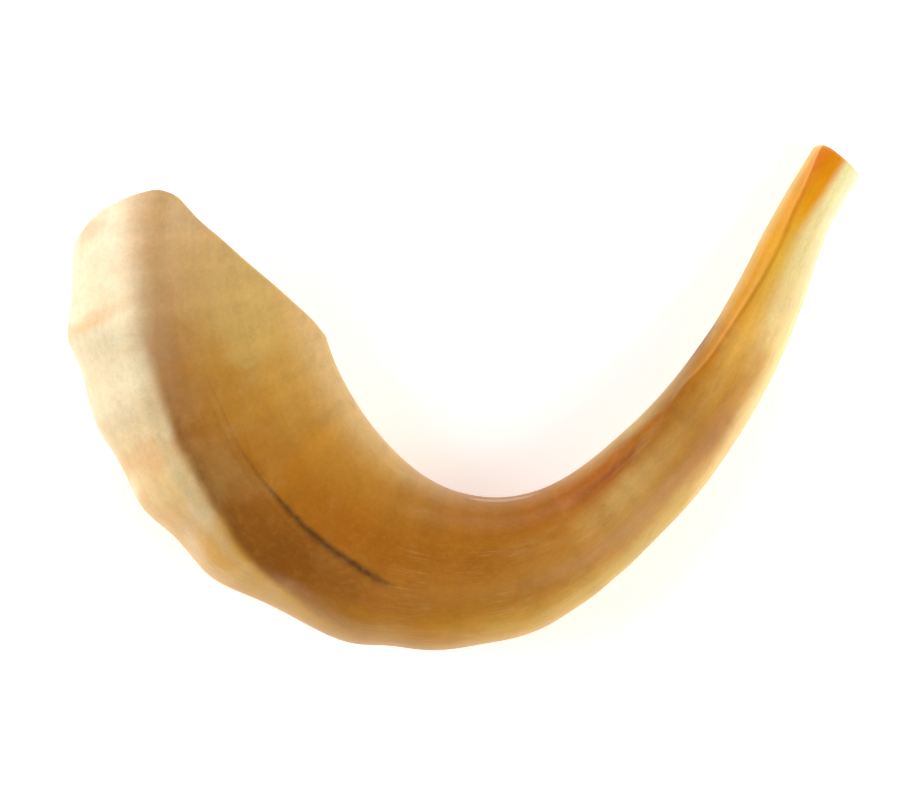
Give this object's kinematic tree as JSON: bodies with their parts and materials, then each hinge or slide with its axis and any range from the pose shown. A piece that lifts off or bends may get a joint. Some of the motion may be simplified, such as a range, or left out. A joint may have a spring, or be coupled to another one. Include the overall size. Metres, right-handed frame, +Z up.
{
  "type": "shofar",
  "caption": "Curved natural ram's horn trumpet, flat and wide at its obliquely cut bell, keeled along the front, tapering to a round drilled mouthpiece with a carved cup.",
  "frame": {"origin": "on the table under the centre of the bounding box of the horn lying on its side", "axes": "+X from the bell towards the mouthpiece, +Y in the plane of the horn's curve towards its two open ends, +Z up, square to the plane of the curve"},
  "size_m": [0.2375, 0.1522, 0.0541],
  "materials": {
    "horn": "polished natural horn, amber and honey brown with a cream front band and a pale tip"
  },
  "bodies": {
    "root": {"ram_horn": "horn"}
  },
  "joints": []
}
